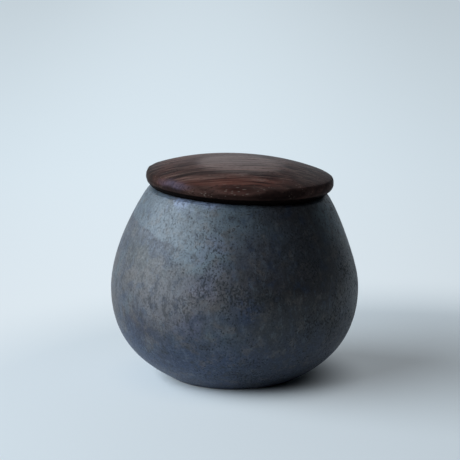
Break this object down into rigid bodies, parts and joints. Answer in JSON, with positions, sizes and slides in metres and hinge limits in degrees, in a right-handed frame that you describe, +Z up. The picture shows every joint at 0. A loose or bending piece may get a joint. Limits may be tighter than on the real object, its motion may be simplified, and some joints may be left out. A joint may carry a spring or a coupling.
{
  "type": "lidded pot",
  "caption": "Full, low-bellied glazed stoneware pot with a slightly slanted mouth and a domed wooden lid that lifts off and turns, located by a plug with a soft ring.",
  "frame": {"origin": "middle of the foot, on the surface that the pot stands on", "axes": "+Z up; the mouth leans down towards +X; the picture looks along +Y"},
  "size_m": [0.11, 0.11, 0.098],
  "materials": {
    "glazed_stoneware": "satin-matt dark iron glaze, charcoal to blue-grey, finely specked",
    "oiled_walnut": "turned, open-pored, oiled, satin",
    "bare_walnut": "turned, lightly oiled, matt",
    "silicone": "translucent grey, satin"
  },
  "bodies": {
    "pot": {"pot_body": "glazed_stoneware"},
    "seal": {"seal_ring": "silicone"},
    "lid": {"lid_cap": "oiled_walnut", "lid_plug": "bare_walnut"}
  },
  "joints": [
    {"name": "lid_lift", "type": "slide", "parent": "pot", "child": "seal", "axis": [0.0471, 0, 0.9989], "range_m": [0, 0.08]},
    {"name": "lid_turn", "type": "hinge", "parent": "seal", "child": "lid", "pos_m": [0.0017, 0, 0.0839], "axis": [0.0471, 0, 0.9989], "continuous": true}
  ]
}
